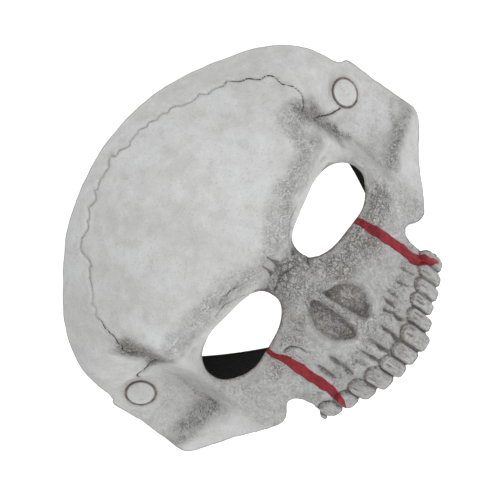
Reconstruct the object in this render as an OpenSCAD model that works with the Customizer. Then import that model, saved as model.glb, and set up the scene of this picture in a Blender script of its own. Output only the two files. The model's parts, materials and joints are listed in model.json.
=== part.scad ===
// Half-face skull mask in moulded latex, with a riveted elastic strap.
// Millimetres. +Z is up as the mask is worn and the face looks along -Y.
// +X is the wearer's left. The origin is the middle of the head, at eye height.

/* [Shell] */
// Half width of the mask at the temples
half_width = 98.5; // [94:0.5:100]
// How far the cut edge of the forehead lies in front of the origin
rim_front = 12.5; // [11:0.5:14]
// Thickness of the latex
latex = 2.6; // [2:0.1:3]
// How far the face stands in front of the origin
face_depth = 70; // [66:0.5:72]

/* [Eyes] */
// Distance from the middle of the face to the middle of an eye
eye_x = 36.2; // [35:0.1:38]
// Height of the middle of the eye
eye_z = 2.2; // [1:0.1:5]
// Half width of the eye opening
eye_half_w = 23.4; // [20:0.1:24]
// Half height of the eye opening
eye_half_h = 13.8; // [12:0.1:16]

/* [Teeth] */
// Width of a front tooth
tooth_w = 8.4; // [8:0.1:8.8]
// Lowest point of the front teeth
tooth_tip = -69.5; // [-71:0.5:-66]

/* [Strap studs] */
// Distance of a stud from the middle of the face
stud_x = 87.5; // [86:0.5:88]
// Height of a stud
stud_z = 13; // [8:1:16]
// How far the temple turns away from the front at a stud, in degrees
stud_turn = 28; // [26:1:30]
// Diameter of the visible stud cap
cap_d = 14; // [12:0.5:15]
// Diameter of the stud's post
post_d = 4; // [3.5:0.1:4.5]

/* [Strap] */
// Width of the elastic
strap_w = 20; // [18:1:20]
// Thickness of one layer of elastic
strap_t = 1.1; // [0.9:0.1:1.2]
// Height of the lowest point of the strap's middle line
strap_low = -75; // [-80:1:-66]
// Sideways place of that lowest point
strap_low_x = 16; // [0:1:18]

/* [Hidden] */

bone = "#c4c4c0";
elastic = "#1d1d1f";
steel = "#b9bcc0";
cotton = "#d9d4c4";
plastic = "#26262a";

// Grid of the moulded surface
cols = 68;
dome_rows = 13;
face_rows = 27;
fold_z = 20;         // height where the forehead dome begins
dome_rx = 106;       // half axes of the forehead dome
dome_ry = 98;
dome_rz = 86;
dome_back = 24;      // how far the dome's centre lies behind the origin
lower_rz = 230;      // the dome's slow fall below fold_z
cheek_round = 42;    // radius that blends the front of the face into its sides
cheek_slope = 0.95;  // slope of the sides of the face
edge_reach = 0.98;   // how far the surface runs before the outline cuts it

// Layers of a strap stud, as heights along its axis from the outer face of the latex
run_gap = 0.05;
bore_gap = 0.06;
wall = 3;
patch_t = 0.8;
patch_r = 12;
washer_t = 0.8;
washer_r = 8;
flange_t = 0.4;
flange_r = 4.5;
barrel_t = 0.5;
end_t = 2 * strap_t;
h_patch = -wall;
h_washer = h_patch - patch_t;
h_flange = h_washer - washer_t;
h_end = h_flange - flange_t;
h_inner_flange = h_end - end_t;
h_socket = h_inner_flange - flange_t - run_gap;
post_l = 1.6;        // depth of the post inside its socket
socket_r = 6;
post_r = post_d / 2;
bore_r = post_r + bore_gap;
barrel_r = bore_r + barrel_t;

// The strap's end and its fold
flat_back = 10;      // length of the strap end in front of its stud
flat_ahead = 9;      // and behind it, before it bends straight back
fold_x = 94.6;
fold_y = 14;
lap_x = 4.2;         // the band lies this far inside the strap end
band_rings = 44;
band_power = 2;      // how pointed the hanging curve is
twist_max = 50;      // lean of the band at its lowest point, in degrees
twist_span = 60;

// Helpers ---------------------------------------------------------------------------------

function smooth(a, b, t) = let (u = min(1, max(0, (t - a) / (b - a)))) u * u * (3 - 2 * u);
function bell(u, v) = exp(-u * u - v * v);
function plateau(u, v) = exp(-pow(u * u + v * v, 2));
function unit(v) = v / norm(v);

// Depth (y) of the moulded surface ------------------------------------------------------------

function face_y(x) = -face_depth + cheek_slope * (sqrt(x * x + cheek_round * cheek_round) - cheek_round);
function dome_y(x, z) =
  let (rz = z > fold_z ? dome_rz : lower_rz)
  dome_back - dome_ry * sqrt(max(0.03, 1 - pow(x / dome_rx, 2) - pow((z - fold_z) / rz, 2)));

// The temple basin behind the eye, shallower towards the edge
function temple(a, z) =
  11 * smooth(63, 71, a) * smooth(-27, -9, z) * (1 - smooth(26, 56, z)) * (1 - 0.55 * smooth(74, 98, a));

// Orbits, brow, cheek bones and nose: every form that the inside of the latex follows too
function bones(a, z) =
  9 * plateau((a - eye_x) / 28, (z - eye_z) / 20)
  - 4 * bell((a - 36) / 22, (z - 27) / 8)
  - 2 * bell(a / 14, (z - 31) / 9)
  + 7 * bell(a / 13, (z - 13) / 8)
  - 8 * bell((a - 63) / 6, (z - 12) / 26)
  - 3 * bell((a - 68) / 7, (z - 46) / 12)
  - 3.5 * smooth(58, 68, a) * bell((z + 21) / 6, 0)
  - 4 * bell((a - 47) / 13, (z + 19) / 10)
  + 4 * bell((a - 33) / 9, (z + 25) / 10)
  - 3 * bell(a / 9, (z - 2) / 10)
  - 3 * smooth(-34, -48, z) * (1 - smooth(36, 50, a));

// Nose opening: two lobes beside a septum, and the spine below them
function nose(a, z) =
  6 * plateau((a - 7) / 8, (z + 20) / 15)
  - 3 * bell(a / 2.5, (z + 20) / 11)
  - 2.5 * bell(a / 6, (z + 39) / 4);

// Teeth: one rounded bump each, below the gum line
function tooth_index(a) = a / (tooth_w - a / 90);
function teeth(a, z) =
  -2 * smooth(-50, -56, z) * (1 - smooth(46, 49, a)) * abs(cos(180 * tooth_index(a)));

function broad_y(x, z) =
  let (a = abs(x), s = smooth(5, 45, z))
  (1 - s) * face_y(x) + s * dome_y(x, z) + temple(a, z) + bones(a, z);
function depth(x, z) = broad_y(x, z) + nose(abs(x), z) + teeth(abs(x), z);

// Unit vector from the face into the mask, square to the broad surface
function inward(x, z) =
  let (
    d = 1.5,
    fx = (broad_y(x + d, z) - broad_y(x - d, z)) / (2 * d),
    fz = (broad_y(x, z + d) - broad_y(x, z - d)) / (2 * d)
  )
  unit([-fx, 1, -fz]);

stud_y = depth(stud_x, stud_z);

// Grid of points, from the teeth up over the forehead ----------------------------------------

function row_z(i) =
  i < face_rows
    ? tooth_tip - 4 + (fold_z - tooth_tip + 4) * i / face_rows
    : fold_z + dome_rz * sin(80 * (i - face_rows) / dome_rows);
function row_half(z) =
  z < fold_z ? 104 : edge_reach * dome_rx * sqrt(1 - pow((z - fold_z) / dome_rz, 2));
rows = face_rows + dome_rows;
grid = [
  for (i = [0 : rows], j = [0 : cols])
    let (z = row_z(i), x = row_half(z) * (2 * j / cols - 1))
    [x, z]
];
outer_skin = [for (g = grid) [g.x, depth(g.x, g.y), g.y]];
inner_skin = [
  for (g = grid)
    let (n = inward(g.x, g.y), y = broad_y(g.x, g.y) + 0.8 * nose(abs(g.x), g.y))
    [g.x, y, g.y] + latex * n
];
count = (rows + 1) * (cols + 1);
function id(i, j) = i * (cols + 1) + j;
skin_faces = [
  for (i = [0 : rows - 1], j = [0 : cols - 1])
    each [
      [id(i, j), id(i + 1, j), id(i + 1, j + 1)],
      [id(i, j), id(i + 1, j + 1), id(i, j + 1)]
    ]
];
inner_faces = [for (f = skin_faces) [count + f[0], count + f[2], count + f[1]]];
// The border, once round, joins the two skins
border = [
  for (j = [0 : cols - 1]) id(0, j),
  for (i = [0 : rows - 1]) id(i, cols),
  for (j = [cols : -1 : 1]) id(rows, j),
  for (i = [rows : -1 : 1]) id(i, 0)
];
border_faces = [
  for (k = [0 : len(border) - 1])
    let (p = border[k], q = border[(k + 1) % len(border)])
    each [[p, q, count + q], [p, count + q, count + p]]
];

// Outlines seen from the front ------------------------------------------------------------

// Right-hand half of the edge of the mask, down the temple to the cheek notch and the teeth
half_edge = [
  [half_width, 110], [half_width, -24], [97.5, -27], [95, -29], [66, -43.5], [63, -45], [60, -45.5],
  [55, -42.5], [50, -37.8], [46.5, -40], [44.8, -48], [48, -57], [47.5, -60.5]
];
// Seen from the side, the cut edge runs up the temple and leans forward over the forehead
rim_line = [
  [12, 14], [-1.5, 20], [-4, 26], [-7, 34], [-9.8, 42], [-11.8, 52], [-rim_front, 62], [-rim_front, 112]
];
// The biting edge rises towards the back teeth and dips into the gaps
function bite_z(x) =
  let (k = tooth_index(abs(x)))
  tooth_tip + 8 * pow(abs(x) / 46, 1.2) + 1.8 * (1 - sqrt(abs(cos(180 * k))));
bite_step = 1.4;
bite = [for (x = [45.5 : -bite_step : -45.5]) [x, bite_z(x)]];
mask_edge = concat(
  half_edge,
  bite,
  [for (k = [len(half_edge) - 1 : -1 : 0]) [-half_edge[k].x, half_edge[k].y]]
);
// Eye: a full oval that drops towards the temple
eye_fullness = 0.88;
eye_drop = 0.19;
function oval(t) = sign(t) * pow(abs(t), eye_fullness);
function eye_point(t) =
  let (x = eye_half_w * oval(cos(t)))
  [eye_x + x, eye_z + eye_half_h * oval(sin(t)) - eye_drop * x];
eye_edge = [for (t = [0 : 10 : 350]) eye_point(t)];

module through(outline) rotate([90, 0, 0]) linear_extrude(260, center = true) polygon(outline);

// Places a stud's layers: +Z runs out of the mask, +X back along the temple, +Y up
module at_stud(side) {
  mirror([side < 0 ? 1 : 0, 0, 0])
    translate([stud_x, stud_y, stud_z])
      rotate([90, 0, stud_turn])
        children();
}

module ring(r_out, r_in, low, thick) translate([0, 0, low]) difference() {
  cylinder(r = r_out, h = thick, $fn = 72);
  translate([0, 0, -1]) cylinder(r = r_in, h = thick + 2, $fn = 48);
}

// Parts --------------------------------------------------------------------------------

module face_shell() color(bone) difference() {
  union() {
    intersection() {
      polyhedron(concat(outer_skin, inner_skin), concat(skin_faces, inner_faces, border_faces));
      through(mask_edge);
      rotate([90, 0, 90]) linear_extrude(260, center = true)
        polygon(concat([[-100, 112], [-100, -90], [12, -90]], rim_line));
    }
    for (side = [-1, 1]) at_stud(side) translate([0, 0, -wall]) cylinder(r = 9.5, h = wall, $fn = 72);
  }
  for (side = [-1, 1]) mirror([side < 0 ? 1 : 0, 0, 0]) through(eye_edge);
  for (side = [-1, 1]) at_stud(side) {
    cylinder(r = 8, h = 5, $fn = 72);
    translate([0, 0, -wall - 8]) cylinder(r = patch_r + 0.3, h = 8, $fn = 72);
    translate([0, 0, -wall - 1]) cylinder(r = bore_r, h = wall + 2, $fn = 48);
  }
}

module stud_cap(side) color(bone) at_stud(side) rotate_extrude($fn = 96)
  polygon([
    [0, 1.9], [3, 1.8], [5.4, 1.45], [cap_d / 2 - 0.3, 0.9], [cap_d / 2, 0.5], [cap_d / 2, run_gap],
    [post_r, run_gap], [post_r, h_socket - post_l], [0, h_socket - post_l]
  ]);

module stud_socket(side) color(plastic) at_stud(side) rotate_extrude($fn = 96)
  polygon([
    [post_r, h_socket], [socket_r, h_socket], [socket_r, h_socket - 1], [socket_r - 1.2, h_socket - 2],
    [3, h_socket - 2.5], [0, h_socket - 2.5], [0, h_socket - post_l], [post_r, h_socket - post_l]
  ]);

module backing_patch(side) color(cotton) at_stud(side) ring(patch_r, bore_r, h_washer, patch_t);

module washer(side) color(plastic) at_stud(side) ring(washer_r, bore_r, h_flange, washer_t);

module eyelet(side) color(steel) at_stud(side) {
  ring(flange_r, bore_r, h_end, flange_t);
  ring(barrel_r, bore_r, h_inner_flange, end_t);
  ring(flange_r, bore_r, h_inner_flange - flange_t, flange_t);
}

// Plan of the strap end: flat under the stud, then bent straight back
end_mid = h_end - end_t / 2;
turn_dir = [cos(stud_turn), sin(stud_turn)];
turn_out = [sin(stud_turn), -cos(stud_turn)];
end_centre = [stud_x, stud_y] + end_mid * turn_out;
end_path = [
  end_centre - flat_back * turn_dir,
  end_centre + flat_ahead * turn_dir,
  [fold_x - 0.7, end_centre.y + flat_ahead * turn_dir.y + 3],
  [fold_x, end_centre.y + flat_ahead * turn_dir.y + 6.5],
  [fold_x, fold_y - 5]
];
function path_normal(k) =
  let (a = end_path[max(0, k - 1)], b = end_path[min(len(end_path) - 1, k + 1)], t = unit(b - a))
  [t.y, -t.x];
function end_side(s) = [for (k = [0 : len(end_path) - 1]) end_path[k] + s * end_t / 2 * path_normal(k)];
end_plan = concat(end_side(1), [for (k = [len(end_path) - 1 : -1 : 0]) end_side(-1)[k]]);

module strap_end(side) color(elastic) difference() {
  mirror([side < 0 ? 1 : 0, 0, 0])
    translate([0, 0, stud_z - strap_w / 2])
      linear_extrude(strap_w) polygon(end_plan);
  at_stud(side) translate([0, 0, h_inner_flange - 1]) cylinder(r = barrel_r, h = end_t + 2, $fn = 72);
}

// Two rows of stitches across the doubled elastic, one each side of the stud
module strap_stitching(side) color(cotton) at_stud(side)
  for (row = [-7.6, 7.6], k = [-3 : 3])
    translate([row, 2.6 * k, h_inner_flange - 0.175])
      cube([0.5, 1.8, 0.35], center = true);

// The hanging band: a quarter turn inward at each fold, then one drooping curve
turn_r = 6;
turn_steps = 6;
turn_drop = 4;
droop_half = fold_x - lap_x - turn_r;
function droop(x) =
  let (u = abs(x - strap_low_x) / (droop_half - sign(x - strap_low_x) * strap_low_x))
  strap_low + (stud_z - turn_drop - strap_low) * pow(u, band_power);
function band_turn(s, k) =
  let (t = 90 * k / turn_steps)
  [
    s * (droop_half + turn_r * cos(t)),
    fold_y - 1 - turn_r * (1 - sin(t)),
    stud_z - turn_drop * pow(k / turn_steps, 2)
  ];
band_path = concat(
  [for (k = [0 : turn_steps - 1]) band_turn(-1, k)],
  [
    for (k = [0 : band_rings])
      let (x = droop_half * (2 * k / band_rings - 1))
      [x, fold_y - 1, droop(x)]
  ],
  [for (k = [turn_steps - 1 : -1 : 0]) band_turn(1, k)]
);
function band_lean(x) = twist_max * exp(-pow((x - strap_low_x) / twist_span, 2));
function band_ring(k) =
  let (
    last = len(band_path) - 1,
    p = band_path[k],
    t = unit(band_path[min(last, k + 1)] - band_path[max(0, k - 1)]),
    up = unit([0, 0, 1] - t.z * t),
    back = cross(t, up),
    lean = band_lean(p.x),
    w = cos(lean) * up + sin(lean) * back,
    n = cross(t, w)
  )
  [for (c = [[-1, -1], [1, -1], [1, 1], [-1, 1]]) p + c[0] * strap_w / 2 * w + c[1] * strap_t / 2 * n];
rings = len(band_path);
band_points = [for (k = [0 : rings - 1]) each band_ring(k)];
band_sides = [
  for (k = [0 : rings - 2], c = [0 : 3])
    let (a = 4 * k + c, b = 4 * k + (c + 1) % 4)
    each [[a, b + 4, b], [a, a + 4, b + 4]]
];

module strap_band() color(elastic)
  polyhedron(
    band_points,
    concat(band_sides, [[0, 1, 2], [0, 2, 3]],
      [for (f = [[2, 1, 0], [3, 2, 0]]) [for (v = f) v + 4 * (rings - 1)]])
  );

face_shell();
stud_cap(1);  // left_stud_cap
stud_cap(-1);  // right_stud_cap
backing_patch(1);  // left_backing_patch
backing_patch(-1);  // right_backing_patch
washer(1);  // left_washer
washer(-1);  // right_washer
eyelet(1);  // left_eyelet
eyelet(-1);  // right_eyelet
strap_end(1);  // left_strap_end
strap_end(-1);  // right_strap_end
strap_stitching(1);  // left_strap_stitching
strap_stitching(-1);  // right_strap_stitching
stud_socket(1);  // left_stud_socket
stud_socket(-1);  // right_stud_socket
strap_band();
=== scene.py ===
# %% [markdown]
# # A half-face skull mask in painted latex
# The real mask is a thin latex shell, cast in a plaster mould, dry-brushed with grey and brown
# paint, and held on by a black elastic that two snap studs fix inside the temples. Here the
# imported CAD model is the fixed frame, and every visible piece is made around it.
# All the forms are worked out in millimetres and turned to metres when a mesh is made.

# %% Load the frame
import json
import math
import bmesh
import bpy
import numpy as np
from mathutils import Matrix, Vector


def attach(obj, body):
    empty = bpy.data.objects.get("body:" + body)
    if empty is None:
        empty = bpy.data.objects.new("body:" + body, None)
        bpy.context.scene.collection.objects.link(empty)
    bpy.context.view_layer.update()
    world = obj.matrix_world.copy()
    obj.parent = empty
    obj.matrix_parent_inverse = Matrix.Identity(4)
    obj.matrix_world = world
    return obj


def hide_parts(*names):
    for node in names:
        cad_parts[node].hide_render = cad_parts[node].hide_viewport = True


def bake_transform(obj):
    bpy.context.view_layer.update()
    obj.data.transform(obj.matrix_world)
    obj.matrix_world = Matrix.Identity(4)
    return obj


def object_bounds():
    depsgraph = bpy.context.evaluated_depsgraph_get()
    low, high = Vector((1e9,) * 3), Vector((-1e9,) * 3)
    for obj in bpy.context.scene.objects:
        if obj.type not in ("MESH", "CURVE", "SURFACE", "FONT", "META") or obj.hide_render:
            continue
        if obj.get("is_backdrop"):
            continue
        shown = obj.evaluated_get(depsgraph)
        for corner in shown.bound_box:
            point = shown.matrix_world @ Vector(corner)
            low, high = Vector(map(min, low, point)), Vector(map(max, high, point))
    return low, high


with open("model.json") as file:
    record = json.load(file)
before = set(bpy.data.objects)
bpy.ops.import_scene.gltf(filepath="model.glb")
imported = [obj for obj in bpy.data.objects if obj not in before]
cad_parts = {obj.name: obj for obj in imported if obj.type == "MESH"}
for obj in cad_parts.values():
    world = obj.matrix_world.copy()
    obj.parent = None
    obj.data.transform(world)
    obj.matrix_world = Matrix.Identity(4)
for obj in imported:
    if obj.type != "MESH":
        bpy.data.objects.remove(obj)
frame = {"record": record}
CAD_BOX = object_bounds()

MM = 0.001
JOINTS = {joint["name"]: joint for joint in frame["record"]["behaviour"]["joints"]}
print("CAD box, mm:", [[round(v / MM, 1) for v in corner] for corner in CAD_BOX])

# %% [markdown]
# ## Camera and light
# A product picture of a matt, pale thing needs a big soft key, a weaker fill and a pale
# surround. The camera looks down a little on the face from far away, so the shapes hardly
# converge, and it is rolled so that the forehead points to the upper left.

# %% Camera
VIEW_AZIMUTH = math.radians(0.6)
VIEW_ELEVATION = math.radians(23.4)
VIEW_ROLL = math.radians(56)
VIEW_DISTANCE = 1.6
VIEW_LENS = 242
VIEW_CENTRE = Vector((0, -0.035, 0.020))


def view_axes(azimuth, elevation, roll):
    """The camera's right, up and forward directions."""
    forward = Vector((
        -math.sin(azimuth) * math.cos(elevation),
        math.cos(azimuth) * math.cos(elevation),
        -math.sin(elevation),
    ))
    right = Vector((math.cos(azimuth), math.sin(azimuth), 0))
    up = right.cross(forward)
    rolled_right = right * math.cos(roll) - up * math.sin(roll)
    rolled_up = right * math.sin(roll) + up * math.cos(roll)
    return rolled_right, rolled_up, forward


right, up, forward = view_axes(VIEW_AZIMUTH, VIEW_ELEVATION, VIEW_ROLL)
aim = VIEW_CENTRE + right * 0.0014 - up * 0.0017
place = aim - forward * VIEW_DISTANCE
turn = Matrix((right, up, -forward)).transposed().to_4x4()
camera = bpy.data.objects.new("camera", bpy.data.cameras.new("camera"))
camera.data.lens = VIEW_LENS
camera.data.clip_end = 20
camera.matrix_world = Matrix.Translation(place) @ turn
bpy.context.scene.collection.objects.link(camera)
bpy.context.scene.camera = camera


# %% Studio light and floor
def soft_light(name, size, power, spot):
    """A square soft box that looks at the middle of the mask."""
    lamp = bpy.data.lights.new(name, "AREA")
    lamp.size = size
    lamp.energy = power
    obj = bpy.data.objects.new(name, lamp)
    obj.location = spot
    obj.rotation_euler = (VIEW_CENTRE - Vector(spot)).to_track_quat("-Z", "Y").to_euler()
    bpy.context.scene.collection.objects.link(obj)


soft_light("key", 0.5, 8.6, (0.3, -0.85, 1.1))
soft_light("fill", 0.9, 1.3, (-0.95, -0.9, 0.4))
soft_light("back", 0.8, 2.5, (0.2, 0.9, 0.9))

world = bpy.data.worlds.new("studio")
world.use_nodes = True
world.node_tree.nodes["Background"].inputs["Color"].default_value = (1, 1, 1, 1)
world.node_tree.nodes["Background"].inputs["Strength"].default_value = 0.45
bpy.context.scene.world = world
bpy.context.scene.view_settings.view_transform = "Standard"


# %% [markdown]
# ## Small helpers
# One function turns an sRGB hex colour to linear, one adds a shader node with its settings and
# links, and one turns points and faces into a mesh object.

# %% Helpers for colours, nodes and meshes
def linear(colour):
    """A hex colour such as #c4c4c0 as linear RGBA."""
    parts = [int(colour[k:k + 2], 16) / 255 for k in (1, 3, 5)]
    return (*[p / 12.92 if p <= 0.04045 else ((p + 0.055) / 1.055) ** 2.4 for p in parts], 1)


def add(tree, kind, settings=None, **inputs):
    """Adds a node; each input is a value or another node's output."""
    made = tree.nodes.new(kind)
    for name, value in (settings or {}).items():
        setattr(made, name, value)
    for name, value in inputs.items():
        socket = made.inputs[int(name[1:])] if name[1:].isdigit() else made.inputs[name.replace("_", " ")]
        if isinstance(value, bpy.types.NodeSocket):
            tree.links.new(value, socket)
        else:
            socket.default_value = value
    return made


def new_material(name):
    """An empty material with its shader and output joined."""
    material = bpy.data.materials.new(name)
    material.use_nodes = True
    tree = material.node_tree
    tree.nodes.clear()
    shader = add(tree, "ShaderNodeBsdfPrincipled")
    add(tree, "ShaderNodeOutputMaterial", Surface=shader.outputs[0])
    return material, tree, shader


def new_object(name, points_mm, faces, material, smooth_angle=40):
    """A mesh object at the origin, from points in millimetres, shaded smooth below an angle."""
    mesh = bpy.data.meshes.new(name)
    mesh.from_pydata((np.asarray(points_mm) * MM).tolist(), [], faces)
    mesh.validate()
    mesh.materials.append(material)
    mesh.set_sharp_from_angle(angle=math.radians(smooth_angle))
    obj = bpy.data.objects.new(name, mesh)
    bpy.context.scene.collection.objects.link(obj)
    return obj


FLOOR_Z = -0.32
floor_paint, tree, shader = new_material("matt_white_floor")
shader.inputs["Base Color"].default_value = linear("#fafafa")
shader.inputs["Roughness"].default_value = 0.9
shader.inputs["Emission Color"].default_value = (1, 1, 1, 1)
shader.inputs["Emission Strength"].default_value = 0.55
FLOOR_REACH = 6000
floor = new_object(
    "floor",
    [(x * FLOOR_REACH, y * FLOOR_REACH, FLOOR_Z / MM) for x, y in ((-1, -1), (1, -1), (1, 1), (-1, 1))],
    [(0, 1, 2, 3)], floor_paint)
floor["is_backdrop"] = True


# %% [markdown]
# ## Paint
# The latex is sealed with a grey-white base, then a thin brown-black wash is brushed on and wiped
# back, so that it stays in the hollows, the cracks and the fine crackle of the mould. The red
# drips are a thicker, glossier acrylic laid on last. The mesh carries what the brush followed:
# distances to cracks, drips and openings in millimetres, how hollow a place is, and where the
# wash was put on. The hollows, the gaps between the teeth, the gum line, the root furrows, the
# nose opening and the ring round each stud are darkened further as painted shade.

# %% Shader building blocks
def millimetres(tree):
    """Object coordinates in millimetres."""
    place = add(tree, "ShaderNodeTexCoord").outputs["Object"]
    return add(tree, "ShaderNodeVectorMath", {"operation": "SCALE"}, _0=place, Scale=1 / MM).outputs[0]


def fractal(tree, vector, size, detail=3.0, rough=0.55, stretch=None):
    """Noise from 0 to 1 with bumps about `size` millimetres apart."""
    if stretch:
        stretched = add(tree, "ShaderNodeVectorMath", {"operation": "MULTIPLY"}, _0=vector, _1=stretch)
        vector = stretched.outputs[0]
    made = add(tree, "ShaderNodeTexNoise", Vector=vector, Scale=1 / size, Detail=detail, Roughness=rough)
    return made.outputs["Fac"]


def math_node(tree, operation, a, b=0.0, clamp=False):
    """One step of arithmetic on two values."""
    settings = {"operation": operation, "use_clamp": clamp}
    return add(tree, "ShaderNodeMath", settings, _0=a, _1=b).outputs[0]


def times(tree, a, b, clamp=False):
    return math_node(tree, "MULTIPLY", a, b, clamp)


def plus(tree, a, b, clamp=False):
    return math_node(tree, "ADD", a, b, clamp)


def less(tree, a, b):
    return math_node(tree, "SUBTRACT", a, b)


def ramp(tree, value, low, high, to_low=0.0, to_high=1.0):
    """A smooth step of a value, from to_low to to_high."""
    kind = {"interpolation_type": "SMOOTHSTEP"}
    return add(tree, "ShaderNodeMapRange", kind, Value=value, From_Min=low, From_Max=high, To_Min=to_low,
               To_Max=to_high).outputs["Result"]


def blend_colour(tree, factor, a, b):
    """Colour a where the factor is 0, colour b where it is 1."""
    node = tree.nodes.new("ShaderNodeMix")
    node.data_type = "RGBA"
    for socket, value in ((node.inputs[0], factor), (node.inputs[6], a), (node.inputs[7], b)):
        if isinstance(value, bpy.types.NodeSocket):
            tree.links.new(value, socket)
        else:
            socket.default_value = value
    return node.outputs[2]


def carried(tree, name):
    """A value painted on the mesh."""
    return add(tree, "ShaderNodeAttribute", {"attribute_name": name}).outputs["Fac"]


def bump(tree, height, strength, distance_mm):
    """A normal from a height, with a full height of distance_mm."""
    made = add(tree, "ShaderNodeBump", Height=height, Strength=strength, Distance=distance_mm * MM)
    return made.outputs[0]


def wrinkle_lines(tree, vector, size, width):
    """Fine wandering lines about `size` millimetres apart, from 0 to 1."""
    value = fractal(tree, vector, size, 2.0, 0.5)
    off_middle = math_node(tree, "ABSOLUTE", less(tree, value, 0.5))
    return ramp(tree, off_middle, width, width * 0.2)


def cell_lines(tree, vector, size, width):
    """Thin lines of a random crackle, from 0 to 1, with cells about `size` millimetres across."""
    cells = add(tree, "ShaderNodeTexVoronoi", {"feature": "DISTANCE_TO_EDGE"}, Vector=vector, Scale=1 / size,
                Randomness=1.0)
    return ramp(tree, cells.outputs["Distance"], width, width * 0.25)


# %% Painted latex: matt grey-white base, wiped wash and painted shade, crackle, red drips
def paint_base(tree, mm):
    """The brushed grey-white base colour, its fine grain and a slow variation."""
    broad = fractal(tree, mm, 26, 4, 0.6)
    patch = fractal(tree, mm, 7, 5, 0.62)
    speck = fractal(tree, mm, 0.9, 3, 0.6)
    colour = blend_colour(tree, ramp(tree, broad, 0.34, 0.66), linear("#bcbdbb"), linear("#c6c7c7"))
    colour = blend_colour(tree, ramp(tree, patch, 0.48, 0.72, 0, 0.5), colour, linear("#d2d3d2"))
    colour = blend_colour(tree, ramp(tree, patch, 0.5, 0.3, 0, 0.4), colour, linear("#a9a8a6"))
    return blend_colour(tree, ramp(tree, speck, 0.5, 0.3, 0, 0.3), colour, linear("#918f8b")), patch, speck


latex_paint, tree, shader = new_material("painted_latex_matt")
mm = millimetres(tree)
warp = add(tree, "ShaderNodeTexNoise", Vector=mm, Scale=0.35, Detail=3.0)
bend = add(tree, "ShaderNodeVectorMath", {"operation": "SCALE"}, _0=warp.outputs["Color"], Scale=2.6)
bent = add(tree, "ShaderNodeVectorMath", {"operation": "ADD"}, _0=mm, _1=bend.outputs[0]).outputs[0]
colour, patch, speck = paint_base(tree, mm)
grain_map = carried(tree, "grain")
wash_and_shade_map = carried(tree, "wash")
hollow_wash_and_shade = carried(tree, "hollow_wash_and_shade")
groove_wash_and_shade = carried(tree, "groove_wash_and_shade")
# Fine wrinkles and crackle, in the worked places only
islands = ramp(tree, fractal(tree, mm, 3.4, 3), 0.42, 0.56)
fine = wrinkle_lines(tree, bent, 1.5, 0.05)
finer = wrinkle_lines(tree, mm, 0.8, 0.045)
coarse = times(tree, cell_lines(tree, bent, 3.4, 0.06), ramp(tree, grain_map, 0.55, 0.9))
crackle = math_node(tree, "MAXIMUM", times(tree, fine, islands), times(tree, finer, 0.6))
crackle = math_node(tree, "MAXIMUM", crackle, coarse)
crackle = times(tree, crackle, ramp(tree, grain_map, 0.05, 0.8), clamp=True)
# The wiped wash and painted shade: a speckled film, painted shade and wash in the hollows and in the tooth
# gaps, root furrows and nose, crackle, vertical brush streaks and pits
brushed = fractal(tree, bent, 2.2, 4, 0.65, (1.6, 1.6, 0.5))
speckle = ramp(tree, fractal(tree, bent, 1.1, 4, 0.7), 0.4, 0.6, 0.2, 1.25)
film = times(tree, wash_and_shade_map, times(tree, ramp(tree, brushed, 0.3, 0.66, 0.35, 1.1), speckle))
# Painted shade and wash in the hollows
pooled_wash_and_shade = times(tree, ramp(tree, hollow_wash_and_shade, 0.12, 1.0, 0, 0.95), ramp(tree, speckle, 0.2, 1.25, 0.55, 1.0))
dark = plus(tree, film, times(tree, pooled_wash_and_shade, ramp(tree, patch, 0.3, 0.6, 0.65, 1.0)))
enamel_streaks = fractal(tree, mm, 1.5, 4, 0.6, (1.6, 1.6, 0.3))
enamel = times(tree, carried(tree, "tooth"), ramp(tree, enamel_streaks, 0.42, 0.7, 0.02, 0.48))
dark = plus(tree, dark, enamel)
dark = plus(tree, dark, times(tree, crackle, ramp(tree, wash_and_shade_map, 0, 0.6, 0.6, 1.0)))
# Painted shade and wash streaked down the tooth gaps, the gum line, the root furrows and the nose
dark = plus(tree, dark, times(tree, groove_wash_and_shade, ramp(tree, brushed, 0.35, 0.6, 0.3, 0.9)), clamp=True)
pits = ramp(tree, fractal(tree, mm, 0.75, 3, 0.6), 0.44, 0.34)
dark = plus(tree, dark, times(tree, pits, times(tree, grain_map, 0.5)), clamp=True)
tone = ramp(tree, fractal(tree, mm, 14, 2), 0.4, 0.62)
# One dark colour serves the wash and the painted shade
wash_and_shade_colour = blend_colour(tree, tone, linear("#6d6259"), linear("#54504d"))
colour = blend_colour(tree, times(tree, dark, 0.86), colour, wash_and_shade_colour)
# Pale flecks where a dry brush caught the high grain
flecks = ramp(tree, fractal(tree, bent, 0.9, 3, 0.6), 0.54, 0.66)
flecks = times(tree, flecks, times(tree, grain_map, 0.45))
colour = blend_colour(tree, flecks, colour, linear("#d6d6d2"))
# Skull cracks and skin creases: a hairline in a faint stain
ragged = fractal(tree, mm, 1.1, 3, 0.6)
crack_mm = less(tree, carried(tree, "crack_mm"), times(tree, ragged, 0.42))
hair = ramp(tree, crack_mm, 0.28, 0.02)
fade = carried(tree, "crack_fade")
stain = ramp(tree, crack_mm, 2.2, 0, 0, 0.22)
colour = blend_colour(tree, times(tree, stain, fade), colour, linear("#7a6d62"))
colour = blend_colour(tree, times(tree, hair, fade), colour, linear("#3f3935"))
crease_mm = less(tree, carried(tree, "crease_mm"), times(tree, ragged, 0.6))
crease = times(tree, ramp(tree, crease_mm, 0.45, -0.3), ramp(tree, patch, 0.35, 0.6, 0.4, 0.85))
colour = blend_colour(tree, crease, colour, linear("#57504a"))
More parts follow.
